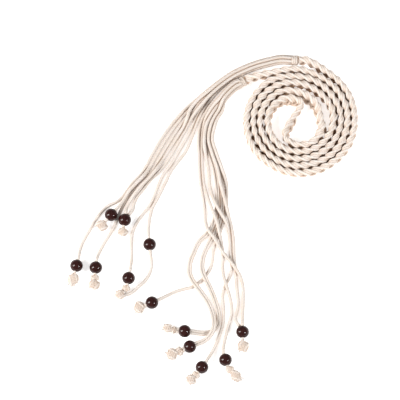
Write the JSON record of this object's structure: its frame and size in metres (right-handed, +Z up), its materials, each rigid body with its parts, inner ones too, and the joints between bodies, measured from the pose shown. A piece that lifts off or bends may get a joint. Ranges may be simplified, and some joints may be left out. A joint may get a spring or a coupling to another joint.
{
  "type": "braided cotton belt with beaded cord ends",
  "caption": "Soft braided belt wound in a flat double coil on its edge, its whipped ends running out into loose cords with round dark beads and end knots.",
  "frame": {"origin": "on the surface that the belt lies on, under the middle of the box round the coil and its two whippings", "axes": "+Z up, with +X to the right and +Y away from the viewer; the loose cords run out towards -X and -Y"},
  "size_m": [0.2891, 0.3343, 0.012],
  "materials": {
    "plait": "plaited cotton cords, warm cream, matt and slightly fuzzy",
    "whipping": "cotton thread wound tight round the braid's end",
    "cord": "twisted cotton cord, off-white and matt",
    "bead": "turned wood stained very dark red-brown with a glossy lacquer",
    "knot": "the same cotton cord pulled into a tight knot, slightly frayed"
  },
  "bodies": {
    "root": {"braid": "plait", "end_wrap_1": "whipping", "end_wrap_2": "whipping", "cord_a1": "cord", "cord_a2": "cord", "cord_a3": "cord", "cord_a4": "cord", "cord_a5": "cord", "cord_a6": "cord", "cord_a7": "cord", "cord_b1": "cord", "cord_b2": "cord", "cord_b3": "cord", "cord_b4": "cord", "cord_b5": "cord", "cord_b6": "cord", "cord_b7": "cord", "bead_a1": "bead", "bead_a2": "bead", "bead_a3": "bead", "bead_a4": "bead", "bead_a6": "bead", "bead_a7": "bead", "bead_b1": "bead", "bead_b2": "bead", "bead_b3": "bead", "bead_b4": "bead", "bead_b5": "bead", "bead_b6": "bead", "knot_a1": "knot", "knot_a2": "knot", "knot_a3": "knot", "knot_a4": "knot", "knot_a6": "knot", "knot_a7": "knot", "knot_b1": "knot", "knot_b2": "knot", "knot_b3": "knot", "knot_b4": "knot", "knot_b5": "knot", "knot_b6": "knot"}
  },
  "joints": []
}
